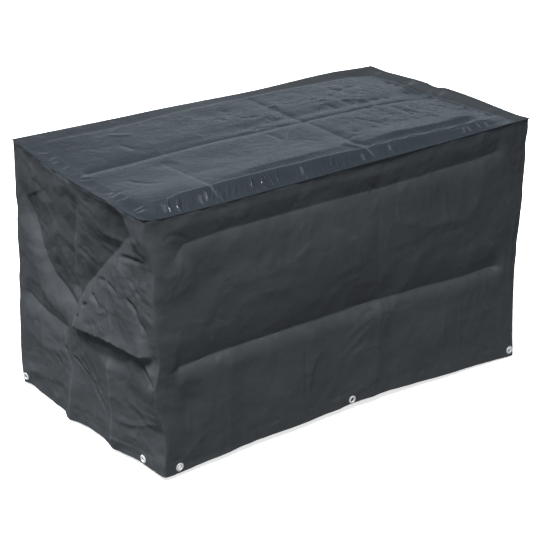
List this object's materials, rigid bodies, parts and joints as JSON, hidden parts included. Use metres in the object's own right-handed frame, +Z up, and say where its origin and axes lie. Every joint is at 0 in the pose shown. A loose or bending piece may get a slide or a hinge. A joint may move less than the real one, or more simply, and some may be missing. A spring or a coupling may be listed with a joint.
{
  "type": "barbecue grill cover",
  "caption": "Fitted box-shaped cover in dark grey woven plastic sheeting, open below, with a seam band round the top and a hem with metal eyelets.",
  "frame": {"origin": "where the underside of the middle of the top touches the grill's lid", "axes": "+X along the long side to the right-hand end, -Y towards the front long side, +Z up; the bottom is open towards -Z"},
  "size_m": [1.0487, 0.5895, 0.6131],
  "materials": {
    "cover_top": "glossy coated woven polyethylene, blue-grey, lit from above",
    "cover_wall": "satin coated woven polyethylene, dark grey, creased from the folded pack",
    "cover_hem": "satin coated woven polyethylene, doubled and welded",
    "eyelet_metal": "pressed metal ring, satin"
  },
  "bodies": {
    "root": {"top_panel": "cover_top", "front_panel": "cover_wall", "right_panel": "cover_wall", "back_panel": "cover_wall", "left_panel": "cover_wall", "front_hem": "cover_hem", "right_hem": "cover_hem", "back_hem": "cover_hem", "left_hem": "cover_hem", "eyelet_01": "eyelet_metal", "eyelet_02": "eyelet_metal", "eyelet_03": "eyelet_metal", "eyelet_04": "eyelet_metal", "eyelet_05": "eyelet_metal", "eyelet_06": "eyelet_metal", "eyelet_07": "eyelet_metal", "eyelet_08": "eyelet_metal", "eyelet_09": "eyelet_metal", "eyelet_10": "eyelet_metal"}
  },
  "joints": []
}
